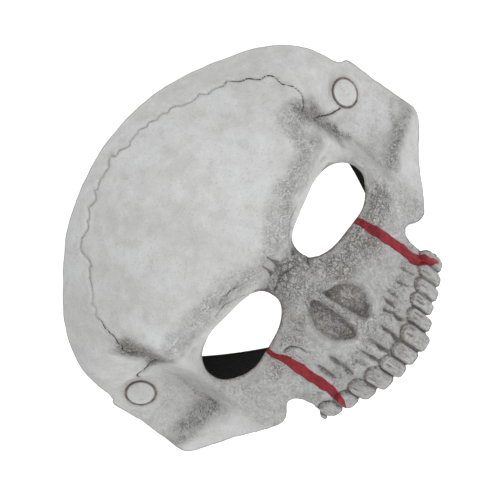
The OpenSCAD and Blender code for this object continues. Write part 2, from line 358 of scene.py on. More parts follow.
# The dark ring round a stud and a wider darkening about it, painted shade and wash where the cap meets the
# latex, and a thin darker line along the scissor cut
stud_mm = carried(tree, "stud_mm")
stud_ring_shade_and_wash = times(tree, ramp(tree, stud_mm, 8.2, 7.75), ramp(tree, brushed, 0.3, 0.6, 0.55, 1.0))
stud_halo_shade_and_wash = ramp(tree, stud_mm, 10.5, 7.5, 0, 0.28)
colour = blend_colour(tree, math_node(tree, "MAXIMUM", stud_ring_shade_and_wash, stud_halo_shade_and_wash), colour, linear("#6a5e56"))
cut_edge = ramp(tree, carried(tree, "edge_mm"), 0.9, 0.1)
cut_line = times(tree, cut_edge, ramp(tree, patch, 0.4, 0.62, 0.1, 0.75))
colour = blend_colour(tree, cut_line, colour, linear("#5c564f"))
# Red drips
drip_mm = plus(tree, carried(tree, "drip_mm"), times(tree, ragged, 0.5))
drip = ramp(tree, drip_mm, 0.42, 0.18)
red_cloud = ramp(tree, fractal(tree, mm, 3.2, 3), 0.35, 0.65)
red = blend_colour(tree, red_cloud, linear("#7f111d"), linear("#9f1d2b"))
# Darker red in the hollows: painted shade and pooled paint
red = blend_colour(tree, times(tree, pooled_wash_and_shade, 0.5), red, linear("#5c0f17"))
colour = blend_colour(tree, drip, colour, red)
tree.links.new(colour, shader.inputs["Base Color"])
rough = plus(tree, ramp(tree, patch, 0.3, 0.7, 0.62, 0.54), times(tree, dark, 0.14))
rough = add(tree, "ShaderNodeMix", Factor=drip, A=rough, B=0.33).outputs[0]
tree.links.new(rough, shader.inputs["Roughness"])
shader.inputs["Specular IOR Level"].default_value = 0.38
relief_height = times(tree, speck, ramp(tree, grain_map, 0, 1, 0.12, 0.75))
relief_height = plus(tree, relief_height, times(tree, patch, 0.35))
relief_height = less(tree, relief_height, times(tree, crackle, 0.75))
relief_height = less(tree, relief_height, times(tree, hair, fade))
relief_height = plus(tree, relief_height, times(tree, drip, 0.4))
tree.links.new(bump(tree, relief_height, 1.0, 0.75), shader.inputs["Normal"])


# %% Bare latex: the unpainted, slightly waxy back of the casting
bare_latex, tree, shader = new_material("bare_latex_cream")
mm = millimetres(tree)
cloud = fractal(tree, mm, 18, 4, 0.6)
pores = add(tree, "ShaderNodeTexVoronoi", Vector=mm, Scale=0.8, Randomness=1.0).outputs["Distance"]
colour = blend_colour(tree, ramp(tree, cloud, 0.35, 0.65), linear("#c9bd9f"), linear("#d8cfb6"))
colour = blend_colour(tree, ramp(tree, fractal(tree, mm, 4, 4), 0.5, 0.75, 0, 0.4), colour, linear("#b9a987"))
tree.links.new(colour, shader.inputs["Base Color"])
shader.inputs["Roughness"].default_value = 0.5
shader.inputs["Subsurface Weight"].default_value = 0.08
shader.inputs["Subsurface Radius"].default_value = (0.003, 0.002, 0.0012)
height = plus(tree, ramp(tree, pores, 0, 0.35), times(tree, cloud, 1.5))
tree.links.new(bump(tree, height, 0.5, 0.3), shader.inputs["Normal"])


# %% Stud cap: the same base paint, brushed over a smooth plastic disc
cap_paint, tree, shader = new_material("painted_stud_cap")
mm = millimetres(tree)
colour, patch, speck = paint_base(tree, mm)
smudge = ramp(tree, fractal(tree, mm, 3.5, 4), 0.48, 0.7, 0, 0.35)
colour = blend_colour(tree, smudge, colour, linear("#8b7f74"))
rim_mm = carried(tree, "rim_mm")
# A darker rim round the cap's edge: painted shade and wash where the cap meets the latex
colour = blend_colour(tree, ramp(tree, rim_mm, 0.75, 0.15, 0, 0.8), colour, linear("#63574f"))
tree.links.new(colour, shader.inputs["Base Color"])
shader.inputs["Roughness"].default_value = 0.52
tree.links.new(bump(tree, plus(tree, patch, speck), 0.4, 0.25), shader.inputs["Normal"])


# %% Woven elastic: black ribs along the strap, finer threads across
elastic, tree, shader = new_material("black_woven_elastic")
place = add(tree, "ShaderNodeUVMap", {"uv_map": "strap_mm"}).outputs[0]
split = add(tree, "ShaderNodeSeparateXYZ", Vector=place)
along, across = split.outputs[0], split.outputs[1]
RIB_PITCH, PICK_PITCH = 1.05, 0.7
ribs = math_node(tree, "SINE", times(tree, across, 2 * math.pi / RIB_PITCH))
stagger = times(tree, math_node(tree, "SIGN", ribs), 0.35)
picks = math_node(tree, "SINE", times(tree, plus(tree, along, stagger), 2 * math.pi / PICK_PITCH))
weave = plus(tree, times(tree, ribs, 0.6), times(tree, picks, 0.4))
fuzz = fractal(tree, millimetres(tree), 0.8, 3)
colour = blend_colour(tree, ramp(tree, weave, -0.9, 0.9), linear("#020203"), linear("#0a0a0b"))
colour = blend_colour(tree, ramp(tree, fuzz, 0.55, 0.8, 0, 0.3), colour, linear("#131315"))
tree.links.new(colour, shader.inputs["Base Color"])
shader.inputs["Roughness"].default_value = 0.6
shader.inputs["Specular IOR Level"].default_value = 0.1
cloth = plus(tree, weave, times(tree, fuzz, 0.4))
tree.links.new(bump(tree, cloth, 0.7, 0.22), shader.inputs["Normal"])


# %% Cotton twill, moulded plastic, plated steel and thread
cotton, tree, shader = new_material("natural_cotton_twill")
mm = millimetres(tree)
parts = add(tree, "ShaderNodeSeparateXYZ", Vector=mm)
diagonal = plus(tree, parts.outputs[1], parts.outputs[2])
WARP_PITCH, WEFT_PITCH = 0.9, 0.6
warp_yarn = math_node(tree, "SINE", times(tree, diagonal, 2 * math.pi / WARP_PITCH))
weft_yarn = math_node(tree, "SINE", times(tree, parts.outputs[2], 2 * math.pi / WEFT_PITCH))
cloth = plus(tree, times(tree, warp_yarn, 0.6), times(tree, weft_yarn, 0.4))
slub = fractal(tree, mm, 1.4, 4)
colour = blend_colour(tree, ramp(tree, cloth, -0.8, 0.8), linear("#a79c82"), linear("#ded6c1"))
colour = blend_colour(tree, ramp(tree, slub, 0.5, 0.75, 0, 0.5), colour, linear("#8f8469"))
tree.links.new(colour, shader.inputs["Base Color"])
shader.inputs["Roughness"].default_value = 0.9
tree.links.new(bump(tree, plus(tree, cloth, slub), 0.7, 0.18), shader.inputs["Normal"])

plastic, tree, shader = new_material("black_moulded_plastic")
mm = millimetres(tree)
texture = fractal(tree, mm, 0.35, 2)
shader.inputs["Base Color"].default_value = linear("#161618")
tree.links.new(ramp(tree, fractal(tree, mm, 4, 4), 0.3, 0.7, 0.34, 0.5), shader.inputs["Roughness"])
tree.links.new(bump(tree, texture, 0.25, 0.06), shader.inputs["Normal"])

steel, tree, shader = new_material("nickel_plated_steel")
mm = millimetres(tree)
shader.inputs["Metallic"].default_value = 1.0
tarnish = ramp(tree, fractal(tree, mm, 2.5, 4), 0.45, 0.75)
tree.links.new(blend_colour(tree, tarnish, linear("#c9c7c0"), linear("#8f8a7f")), shader.inputs["Base Color"])
tree.links.new(ramp(tree, tarnish, 0, 1, 0.24, 0.5), shader.inputs["Roughness"])

thread, tree, shader = new_material("white_polyester_thread")
mm = millimetres(tree)
ply = fractal(tree, mm, 0.25, 2)
tree.links.new(blend_colour(tree, ramp(tree, ply, 0.3, 0.7), linear("#b8b4a8"), linear("#e4e1d8")),
               shader.inputs["Base Color"])
shader.inputs["Roughness"].default_value = 0.6
tree.links.new(bump(tree, ply, 0.5, 0.08), shader.inputs["Normal"])


# %% [markdown]
# ## The form of the face
# A cast shell could be sculpted by hand, but a face is easier to keep true as a height field:
# for each place seen from the front it has one depth. The same few rules that shape the CAD
# shell are repeated here, so the fine mesh lies on the plain one.

# %% Rules of the broad form
def smooth(low, high, value):
    """0 below low, 1 above high, and an even S between them."""
    u = np.clip((value - low) / (high - low), 0, 1)
    return u * u * (3 - 2 * u)


def bell(u, v=0.0):
    return np.exp(-u * u - v * v)


def plateau(u, v):
    return np.exp(-(u * u + v * v) ** 2)


FACE_DEPTH, CHEEK_SLOPE, CHEEK_ROUND = 70, 0.95, 42
FOLD_Z, DOME_BACK, DOME_RX, DOME_RY, DOME_RZ, LOWER_RZ = 20, 24, 106, 98, 86, 230
EYE_X, EYE_Z, EYE_HALF_W, EYE_HALF_H, EYE_DROP, EYE_POWER = 36.2, 2.2, 23.4, 13.8, 0.19, 2.27
EYE_MEAN_HALF = 18


def face_y(x):
    return -FACE_DEPTH + CHEEK_SLOPE * (np.sqrt(x * x + CHEEK_ROUND ** 2) - CHEEK_ROUND)


def dome_y(x, z):
    rz = np.where(z > FOLD_Z, DOME_RZ, LOWER_RZ)
    inside = 1 - (x / DOME_RX) ** 2 - ((z - FOLD_Z) / rz) ** 2
    return DOME_BACK - DOME_RY * np.sqrt(np.maximum(0.03, inside))


def temple(a, z):
    basin = smooth(63, 71, a) * smooth(-27, -9, z) * (1 - smooth(26, 56, z))
    return 11 * basin * (1 - 0.55 * smooth(74, 98, a))


def bones(a, z):
    return (
        9 * plateau((a - EYE_X) / 28, (z - EYE_Z) / 20)
        - 4 * bell((a - 36) / 22, (z - 27) / 8)
        - 2 * bell(a / 14, (z - 31) / 9)
        + 7 * bell(a / 13, (z - 13) / 8)
        - 8 * bell((a - 63) / 6, (z - 12) / 26)
        - 3 * bell((a - 68) / 7, (z - 46) / 12)
        - 3.5 * smooth(58, 68, a) * bell((z + 21) / 6)
        - 4 * bell((a - 47) / 13, (z + 19) / 10)
        + 4 * bell((a - 33) / 9, (z + 25) / 10)
        - 3 * bell(a / 9, (z - 2) / 10)
        - 3 * smooth(-34, -48, z) * (1 - smooth(36, 50, a))
    )


def broad_y(x, z):
    a = np.abs(x)
    s = smooth(5, 45, z)
    return (1 - s) * face_y(x) + s * dome_y(x, z) + temple(a, z) + bones(a, z)


def inward(x, z, step=1.5):
    """Unit vectors from the broad surface into the mask."""
    fx = (broad_y(x + step, z) - broad_y(x - step, z)) / (2 * step)
    fz = (broad_y(x, z + step) - broad_y(x, z - step)) / (2 * step)
    n = np.stack([-fx, np.ones_like(fx), -fz], -1)
    return n / np.linalg.norm(n, axis=-1, keepdims=True)


# %% Seeded noise, for the unevenness of a hand-made mould
def scatter(i, seed):
    """A repeatable value from 0 to 1 for whole-number places."""
    h = (i[..., 0] * 374761393 + i[..., 1] * 668265263 + i[..., 2] * 2147483647 + seed * 974634777)
    h = (h ^ (h >> 13)) * 1274126177 & 0xFFFFFFFF
    return ((h ^ (h >> 16)) & 0xFFFFFF) / 0xFFFFFF


def noise(points, size, seed=1):
    """Smooth value noise from -1 to 1 with bumps about `size` apart."""
    q = points / size
    cell = np.floor(q).astype(np.int64)
    f = q - cell
    f = f * f * (3 - 2 * f)
    total = 0
    for corner in np.ndindex(2, 2, 2):
        weight = np.prod(np.where(corner, f, 1 - f), axis=-1)
        total = total + weight * scatter(cell + np.array(corner), seed)
    return 2 * total - 1


# %% [markdown]
# ## Carved detail
# Teeth, root ridges, the nose opening, skin creases and the cracks of the skull are small moves
# along the surface. Each is a rule in millimetres, positive where the surface sinks in. The
# distance to the nearest crack, drip or stud is kept too, because a distance can be drawn by
# the paint as a crisp line even where the mesh is coarser than the line.

# %% Teeth, roots and nose
# Each tooth from the wearer's right: right edge, tip, gum line and how far it stands out
TEETH = np.array([
    (-54, -59, -51, 0), (-46, -60, -51, 0.1), (-38.4, -61.6, -52.2, -0.3), (-29.9, -64.2, -52.3, 0.3),
    (-21.4, -66.9, -54, -0.2), (-12.2, -68.2, -55.6, 0.3), (-4, -69.3, -56.2, -0.1), (4.4, -70.4, -55.6, 0.6),
    (13.8, -67.5, -54, 0.1), (21, -65, -52.5, -0.4), (27.8, -64.6, -51.7, 0.2), (34.8, -63.6, -50.5, -0.2),
    (41, -62.6, -50, 0.2), (47.5, -60, -50, 0),
])
TOOTH_GAPS = np.append(TEETH[:, 0], 54)
TOOTH_TIPS, GUM_LINES, TOOTH_OUT = TEETH[:, 1:].T
TEETH_HALF = 47.5


def tooth_place(x):
    """Which tooth a place belongs to, and how far across it from -1 to 1."""
    k = np.clip(np.searchsorted(TOOTH_GAPS, x) - 1, 0, len(TOOTH_TIPS) - 1)
    left, right_ = TOOTH_GAPS[k], TOOTH_GAPS[k + 1]
    return k, np.clip(2 * (x - left) / (right_ - left) - 1, -1, 1)


def bite_z(x):
    """The biting edge: square tips with rounded corners and a notch between teeth."""
    k, u = tooth_place(x)
    return TOOTH_TIPS[k] + 0.25 * (k % 3 - 1) * u + 2.6 * np.abs(u) ** 6


def gum_z(x):
    k, u = tooth_place(x)
    return GUM_LINES[k] + 1.5 - 3.2 * np.abs(u) ** 2.6


def tooth_relief(x, z):
    """Crowns that bulge from under an arched gum line, with a deep gap at each side."""
    k, u = tooth_place(x)
    below = gum_z(x) - z
    crown = smooth(-0.5, 1.7, below)
    width = 1 - np.abs(u) ** 3.2
    tip = smooth(4.5, 0, z - TOOTH_TIPS[k]) ** 2
    within = 1 - smooth(47.0, 48.5, np.abs(x))
    groove = 0.9 * bell((below - 0.1) / 0.75)
    gap = 1.1 * bell((1 - np.abs(u)) / 0.13) * crown
    body = (1.9 + TOOTH_OUT[k]) * width * crown * (1 - 0.25 * smooth(0, 13, below))
    return within * (groove + gap + 1.6 * tip * crown - body)


# Grooves between the roots: middle, top, bottom, half width, depth
ROOT_GROOVES = [
    (-28, -32, -44, 1.1, 1.2), (-21.4, -33, -49, 1.3, 1.3), (-10.2, -41, -54, 1.0, 1.2),
    (-3.6, -41, -56, 1.1, 1.3), (4.4, -43, -56, 1.1, 1.4), (12.6, -39, -54, 1.0, 1.3),
    (16.3, -37, -46, 0.9, 1.1), (20.4, -38, -48, 0.9, 1.0), (27.5, -40, -51, 0.9, 0.7),
    (33.4, -39, -50, 0.9, 0.7), (-35.5, -40, -50, 1.0, 0.7), (-15.6, -42, -51, 1.4, 0.6),
]


def root_relief(x, z):
    """Short furrows between the roots, with the roots swelling a little beside them."""
    total = 0
    wander = noise(np.stack([x, 0 * x, z], -1), 4.2, 61)
    for k, (middle, top, bottom, half, depth) in enumerate(ROOT_GROOVES):
        t = (z - bottom) / (top - bottom)
        lean = 1.2 * math.sin(k * 2.1) * (t - 0.5)
        reach_ = smooth(-0.15, 0.25, t) * (1 - smooth(0.6, 1.15, t)) * (0.75 + 0.45 * wander)
        side = (x - middle - lean + 0.7 * wander) / half
        total = total + reach_ * (depth * bell(side) - 0.42 * depth * bell((np.abs(side) - 2.3) / 1.2))
    return total


# Height, septum side and outer side of each half of the nose opening
NOSE_LEFT = [
    (-7, 3.4, 3.5), (-8.5, 2.8, 6.2), (-10.6, 2.2, 8.4), (-13.8, 2, 11.8), (-17, 2, 14), (-20, 2, 15.2),
    (-26.4, 2.1, 15.7), (-30.8, 2.3, 14.8), (-34.6, 2.9, 12), (-36.8, 4.4, 9.8), (-38.2, 7.2, 7.3),
]
NOSE_RIGHT = [
    (-10.5, 2.8, 2.9), (-12.6, 1.9, 5.6), (-15, 1.6, 9.8), (-18.2, 1.6, 13.1), (-22, 1.6, 15.1),
    (-26.4, 1.6, 15.7), (-30.8, 1.7, 14.1), (-34.6, 2.2, 11.1), (-36.6, 3.2, 8), (-37.8, 5, 5.1),
]


def nose_wall(x, z):
    """How far inside the nose opening a place lies: two lobes beside a narrow septum."""
    walls = []
    for side, table in ((-1, NOSE_LEFT), (1, NOSE_RIGHT)):
        heights, inner, outer = (np.array(v)[::-1] for v in zip(*table))
        a = side * x
        across = np.minimum(a - np.interp(z, heights, inner), 0.85 * (np.interp(z, heights, outer) - a))
        walls.append(np.minimum.reduce([across, heights[-1] - z, z - heights[0]]))
    return np.maximum(*walls)


def nose_relief(x, z):
    wall = nose_wall(x, z)
    dish = 4.2 * smooth(-0.5, 2.4, wall)
    lip = 1.1 * bell((wall + 1.6) / 1.4) * smooth(-41, -35, z)
    bridge = 2.2 * bell(x / 4.2, (z + 2) / 7)
    shelf = 0.45 * bell(x / 5.5, (z + 13) / 9) * (wall < 0)
    return dish - lip - bridge + shelf


# %% Distances to cracks, creases, drips and studs
def nearest(points, path):
    """Distance from each point to a path of points, all in space."""
    best = np.full(len(points), 1e9)
    for p, q in zip(path[:-1], path[1:]):
        line = q - p
        t = np.clip((points - p) @ line / max(line @ line, 1e-9), 0, 1)
        best = np.minimum(best, np.linalg.norm(points - p - t[:, None] * line, axis=1))
    return best


def on_face(path, wiggle=0.0, step=1.6, seed=3):
    """A path given as seen from the front, laid on the face and made jagged."""
    path = np.array(path, float)
    length = np.concatenate([[0], np.cumsum(np.linalg.norm(np.diff(path, axis=0), axis=1))])
    s = np.linspace(0, length[-1], max(2, int(length[-1] / step)))
    flat = np.stack([np.interp(s, length, path[:, 0]), np.interp(s, length, path[:, 1])], 1)
    rng = np.random.default_rng(seed)
    jag = rng.normal(0, 1, flat.shape)
    jag = wiggle * (0.6 * jag + 0.4 * np.roll(jag, 1, 0))
    jag[[0, -1]] = 0
    flat = flat + jag
    return np.stack([flat[:, 0], broad_y(flat[:, 0], flat[:, 1]), flat[:, 1]], 1)


CROWN_CRACK = [
    (-69, 37), (-73, 42.5), (-71, 55), (-69, 63), (-65, 67), (-62, 70.5), (-58, 74.5), (-51, 80),
    (-44, 86.5), (-33, 91), (-18, 95), (2, 96), (20, 93.5), (35, 88.5), (47, 82), (60.5, 73.5), (67, 67),
    (70.5, 63), (73, 59), (74.5, 54), (75.5, 47.5), (75, 40), (71, 38.5), (67.5, 41),
]
LEFT_CRACK = [(68, 31), (70, 26.5), (74, 19), (77, 14), (80, 12)]
RIGHT_CRACK = [(-68, 27), (-71, 25.5), (-74, 23.5), (-77.5, 23), (-80.5, 23.5), (-82, 20)]
CRACKS = [
    on_face(CROWN_CRACK, 0.75, 1.9, 3), on_face(LEFT_CRACK, 0.5, 1.5, 5), on_face(RIGHT_CRACK, 0.5, 1.5, 7),
]
CREASES = [
    on_face([(13, 17), (15, 21), (21, 25), (29.5, 25.5)], 0.25, 2, 11),
    on_face([(-14.5, 15.5), (-18, 22), (-23, 25), (-28, 27.5), (-35, 27)], 0.25, 2, 12),
    on_face([(-17, 29), (-23, 30.5), (-29, 30)], 0.3, 2, 18),
    on_face([(1.5, 25), (1.0, 20), (1.8, 16)], 0.3, 2, 13),
    on_face([(-3.4, 24), (-2.8, 19), (-4, 15)], 0.3, 2, 14),
    on_face([(-9.3, 8), (-5, 9.6), (-0.8, 9.8), (3, 8.4), (6.5, 5.9)], 0.25, 1.6, 15),
    on_face([(9.5, 10.5), (10.5, 11.5)], 0.3, 1.0, 24),
    on_face([(10, 2), (13, 2.5), (16, 0.5), (17, -3)], 0.3, 1.6, 19),
    on_face([(-31.5, -17.5), (-28, -17.5), (-25.8, -20), (-25, -26)], 0.2, 1.5, 20),
    on_face([(-2.2, -11), (-2.4, -18), (-2.3, -27)], 0.15, 1.5, 21),
    on_face([(2.2, -10), (2.4, -17), (2.2, -24)], 0.15, 1.5, 22),
    on_face([(-5.5, -5), (-8, -9), (-10, -13)], 0.3, 1.5, 23),
]
# Hairline cracks in the enamel, from the gum down: place, top, length
TOOTH_CRACKS = [
    (-26.6, -53, 3), (-24.2, -53, 2), (-18.4, -55, 5), (-15.6, -55, 3.4), (-8.8, -57, 3), (-6.4, -57, 4.5),
    (0.8, -58, 2.5), (8.2, -56.5, 3.5), (11, -56.5, 2.5), (16.2, -55, 3), (18.2, -55, 4.5),
    (23.6, -53.5, 5), (25.4, -53.5, 3), (31, -53, 3.5), (37, -51.5, 4), (38.8, -51.5, 2.5), (44, -51, 3),
]
for k, (place_x, top_z, long_) in enumerate(TOOTH_CRACKS):
    CREASES.append(on_face([(place_x, top_z), (place_x + 0.3, top_z - long_)], 0.1, 1.2, 60 + k))
# Drips: height, middle and width at a few places down each one
RIGHT_DRIP = [
    (-7, -35.9, 1.9), (-12, -35.6, 2.1), (-16, -35.0, 2.7), (-19.7, -34.0, 4.4), (-25, -33.8, 4.9),
    (-30, -33.7, 5.2), (-39, -33.7, 5.2), (-45, -33.9, 4.8), (-50, -34.8, 4.1), (-53.5, -35.2, 3.6),
    (-57, -36.3, 2.2), (-59.8, -37, 0.4),
]
LEFT_DRIP = [
    (-7, 39.0, 2.6), (-10.8, 39.2, 2.8), (-15, 39.7, 3.3), (-19.7, 40.1, 4.2), (-24.4, 40.5, 4.7),
    (-34.8, 40.2, 4.7), (-39, 40.4, 4.5), (-42, 39.9, 4.3), (-43.9, 39.2, 4.9), (-46, 39.6, 4.7),
    (-48.4, 40.4, 4.7), (-52.5, 41.6, 3.8), (-56.2, 42.7, 2.6), (-59.5, 44, 0.5),
]
# Where the wash was brushed on: path, half width and strength
WASHES = [
    ([(-71.5, 47), (-69, 38), (-67.5, 31), (-69, 26)], 3.6, 0.95),
    ([(-69.5, 24), (-68, 15), (-69, 6), (-70.5, -2)], 1.3, 0.3),
    ([(-70.5, -4), (-71, -10), (-73, -16)], 1.8, 0.6),
    ([(66.5, 43), (67, 36), (67.5, 28)], 2.6, 0.95),
    ([(69, 33), (73, 29)], 2.4, 0.7),
    ([(67.5, 26), (68.5, 14)], 1.7, 0.75),
    ([(69, 12), (69.5, 4)], 1.9, 0.95),
    ([(69.5, -2), (69.5, -10), (70.5, -18)], 1.7, 0.5),
    ([(-98, -12), (-92, -16), (-84, -18.5), (-74, -16)], 2.6, 0.5),
    ([(-80, -14), (-73, -12)], 4.5, 0.3),
    ([(99, -13), (94, -15), (86, -19.5), (80, -21)], 2.2, 0.5),
    ([(78, -19), (71, -17)], 4.5, 0.28),
    # A wide band that makes the cheeks and upper jaw darker than the forehead
    ([(-50, -22), (-20, -12), (20, -12), (50, -22)], 24, 0.2),
    ([(-96, -2), (-74, -4)], 18, 0.3),
    ([(96, -4), (74, -6)], 16, 0.2),
    ([(-12, 8), (-4, 11), (5, 10), (13, 6)], 5.5, 0.42),
    ([(10, 4), (13, -6), (19, -14), (30, -18), (40, -16)], 5.5, 0.4),
    ([(-10, 4), (-13, -6), (-20, -13), (-28, -15)], 4.5, 0.32),
    ([(32, -20), (38, -23)], 7, 0.42),
    ([(46, -14), (55, -19)], 5, 0.3),
    ([(-41, -20), (-38, -26)], 4.5, 0.4),
    ([(-28, 28), (-18, 26), (-9, 20)], 3.5, 0.22),
    ([(26, 27), (18, 24), (8, 20)], 3.5, 0.22),
    ([(50, 33), (58, 31)], 4.5, 0.22),
    ([(-45, -42), (-30, -46), (0, -48), (30, -46), (45, -42)], 8, 0.26),
    ([(-47, -57), (0, -60), (47, -57)], 7, 0.12),
    ([(-62, -22), (-52, -36)], 6, 0.12),
]
GRAINS = [
    ([(-72, 46), (-68, 28)], 5, 1.0), ([(67, 43), (70, 30), (69, 12)], 5, 1.0),
    ([(-60, 30), (-30, 33), (0, 24), (30, 33), (60, 31)], 8, 0.5), ([(62, 46), (55, 36)], 8, 0.5),
    ([(-15, 5), (15, 5)], 12, 1.0), ([(15, -12), (40, -20), (55, -18)], 9, 1.0),
    ([(-14, -12), (-40, -20)], 8, 0.7), ([(0, -8), (0, -34)], 13, 0.9), ([(-45, -44), (45, -44)], 9, 0.55),
    ([(-98, -17), (-72, -17)], 5, 0.6), ([(98, -20), (72, -19)], 5, 0.6),
    ([(-60, -25), (-55, -36)], 6, 0.4), ([(60, -25), (55, -36)], 6, 0.4),
]


def brushed_on(x, z, strokes, seed):
    """How strongly a set of soft brush strokes covers each place."""
    flat = np.stack([x, 0 * x, z], -1)
    sway = flat + np.stack([noise(flat, 8, seed), 0 * x, noise(flat, 8, seed + 1)], -1) * 2.2
    total = np.zeros(len(x))
    for path, width, strength in strokes:
        line = np.array([(px, 0, pz) for px, pz in path], float)
        total = np.maximum(total, strength * bell(nearest(sway, line) / width))
    return total


def drip_edge(x, z, drip):
    """Distance outside a drip's edge, negative inside the paint."""
    heights, middles, widths = (np.array(v)[::-1] for v in zip(*drip))
    flat = np.stack([x, 0 * x, z], -1)
    from_middle = np.abs(x + 0.35 * noise(flat, 3.6, 51) - np.interp(z, heights, middles))
    side = from_middle - np.interp(z, heights, widths) / 2
    return np.maximum.reduce([side, heights[0] - z, z - heights[-1]])


STUD_AT = np.array(JOINTS["left_stud_spin"]["pos_m"]) / MM
STUD_OUT = np.array(JOINTS["left_stud_spin"]["axis"])
SEAT_R, SEAT_LIP, SEAT_BACK = 8.0, 0.55, -3.0


def stud_reach(points):
    """Distance of each point from the nearer stud's axis, and its height over the stud's seat."""
    folded = points * np.where(points[:, :1] < 0, np.array([[-1, 1, 1]]), 1)
    away = folded - STUD_AT
    height = away @ STUD_OUT
    return np.linalg.norm(away - height[:, None] * STUD_OUT, axis=1), height


# %% [markdown]
# ## Cutting the edge
# On the real mask the edge and the eyes are cut with scissors after casting. The mesh is cut the
# same way: a grid of the whole face is made first, every point gets a signed distance to the
# cut, and the triangles that cross it are trimmed exactly on the line. That keeps the cut smooth
# at any angle to the grid, which a boolean on so fine a mesh would do more slowly.

# %% Outline of the mask
HALF_EDGE = [
    (0, 130), (98.5, 130), (98.5, -23.6), (97.4, -26.6), (95, -29), (80, -36), (67, -43), (63, -45),
    (60.5, -45.4), (57.5, -44.2), (55, -42.2), (52.5, -39), (50, -37.6), (47.5, -38.6), (45.7, -42),
    (44.8, -46.5), (45.2, -50.5), (46.8, -54.5), (47.9, -57), (47.8, -60.5), (46, -66), (40, -80), (0, -80),
]
RIM_Y = [
    (-100, 14), (14, 12), (20, -1.5), (26, -4), (34, -7), (42, -9.8), (52, -11.8), (62, -12.5),
    (120, -12.5),
]


def polygon_inside(a, z, outline):
    """Signed distance to a closed outline, positive inside."""
    best = np.full(a.shape, 1e9)
    inside = np.zeros(a.shape, bool)
    for (x0, z0), (x1, z1) in zip(outline, outline[1:] + outline[:1]):
        dx, dz = x1 - x0, z1 - z0
        t = np.clip(((a - x0) * dx + (z - z0) * dz) / (dx * dx + dz * dz), 0, 1)
        if not (x0 == 0 and x1 == 0):
            best = np.minimum(best, np.hypot(a - x0 - t * dx, z - z0 - t * dz))
        if dz:
            crosses = (z0 > z) != (z1 > z)
            inside ^= crosses & (a < x0 + (z - z0) / dz * dx)
    return np.where(inside, best, -best)


def eye_gap(a, z):
    """Distance outside the eye opening's edge."""
    dx = a - EYE_X
    dz = z - EYE_Z + EYE_DROP * dx
    q = (np.abs(dx / EYE_HALF_W) ** EYE_POWER + np.abs(dz / EYE_HALF_H) ** EYE_POWER) ** (1 / EYE_POWER)
    return (q - 1) * EYE_MEAN_HALF


def keep(x, y, z):
    """Positive where latex stays, as rough millimetres from the cut."""
    a = np.abs(x)
    flat = np.stack([x, 0 * x, z], -1)
    sway = 0.5 * noise(flat, 17, 21) + 0.2 * noise(flat, 5, 22)
    a_cut = a - (1.8 + 1.4 * smooth(0, 60, x)) * smooth(84, 96, a)
    edge = np.where(z < -48, polygon_inside(a, z, HALF_EDGE), polygon_inside(a_cut, z, HALF_EDGE) + sway)
    rim = np.interp(z, *zip(*RIM_Y)) - y + 1.2 * sway
    rounded = np.maximum(0, 1 - np.abs(edge - rim) / 12) ** 2 * 3.6 * smooth(10, 25, z)
    return np.minimum.reduce([edge - rounded, rim - rounded, z - bite_z(x), eye_gap(a, z) + 0.4 * sway])


# %% The outer skin's relief
def relief(x, z, base):
    """Sinking of the outer skin below the broad form, and the maps the paint needs."""
    a = np.abs(x)
    gap = eye_gap(a, z)
    cracks = np.minimum.reduce([nearest(base, path) for path in CRACKS])
    creases = np.minimum.reduce([nearest(base, path) for path in CREASES])
    drip = np.minimum(drip_edge(x, z, LEFT_DRIP), drip_edge(x, z, RIGHT_DRIP))
    lumps = 0.55 * noise(base, 34, 1) + 0.3 * noise(base, 13, 2) + 0.10 * noise(base, 5, 4)
    rough = smooth(2, 30, 60 - np.abs(z - 5)) * 0.05 + 0.03
    grain = rough * noise(base, 2.2, 5) * (1 - 0.7 * smooth(-50, -53, z))
    folds = base * np.array([1, 1, 0.28])
    nose_grain = smooth(0.3, 2.5, nose_wall(x, z)) * (0.8 * noise(folds, 1.8, 6) + 0.3 * noise(base, 1.1, 9))
    roots = 1.4 * root_relief(x, z) + 0.3 * noise(folds, 3.0, 8) * smooth(-28, -36, z) * smooth(-56, -50, z)
    sink = (
        tooth_relief(x, z) + nose_relief(x, z) + roots
        + lumps * (1 - 0.8 * smooth(-48, -53, z)) + grain + nose_grain
        + 0.75 * bell(cracks / 0.9) - 0.22 * bell((cracks - 2.2) / 1.1)
        + 0.75 * bell(creases / 0.8) - 0.3 * bell((creases - 2.0) / 1.2)
        + 1.5 * np.clip(1 - gap / 4.5, 0, 1) ** 2 - 0.9 * bell((gap - 6.5) / 3)
        - 0.32 * smooth(0.3, -0.8, drip)
    )
    return sink, {"crack_mm": cracks, "crease_mm": creases, "drip_mm": drip}


# %% Grids, trimming and closing
GRID_HALF = 104


def face_grid(face_rows, dome_rows, columns):
    """Places seen from the front, evenly spread over the surface, and the grid's triangles."""
    lower = np.linspace(TOOTH_TIPS.min() - 2, FOLD_Z, face_rows, endpoint=False)
    upper = FOLD_Z + DOME_RZ * np.sin(np.radians(np.linspace(0, 79, dome_rows)))
    z = np.concatenate([lower, upper])
    dome_half = 0.98 * DOME_RX * np.sqrt(np.maximum(0, 1 - ((z - FOLD_Z) / DOME_RZ) ** 2))
    half = np.where(z < FOLD_Z, GRID_HALF, dome_half)
    s = np.linspace(-1, 1, columns)
    s = 0.72 * s + 0.28 * np.sin(s * math.pi / 2)
    x = half[:, None] * s[None, :]
    z = np.broadcast_to(z[:, None], x.shape)
    index = np.arange(x.size).reshape(x.shape)
    a, b, c, d = (index[:-1, :-1], index[:-1, 1:], index[1:, 1:], index[1:, :-1])
    turned = (np.add.outer(np.arange(a.shape[0]), np.arange(a.shape[1])) % 2).astype(bool)
    one = np.where(turned[..., None], np.stack([a, b, c], -1), np.stack([a, b, d], -1))
    two = np.where(turned[..., None], np.stack([a, c, d], -1), np.stack([b, c, d], -1))
    return x.ravel(), z.ravel().copy(), np.concatenate([one.reshape(-1, 3), two.reshape(-1, 3)])


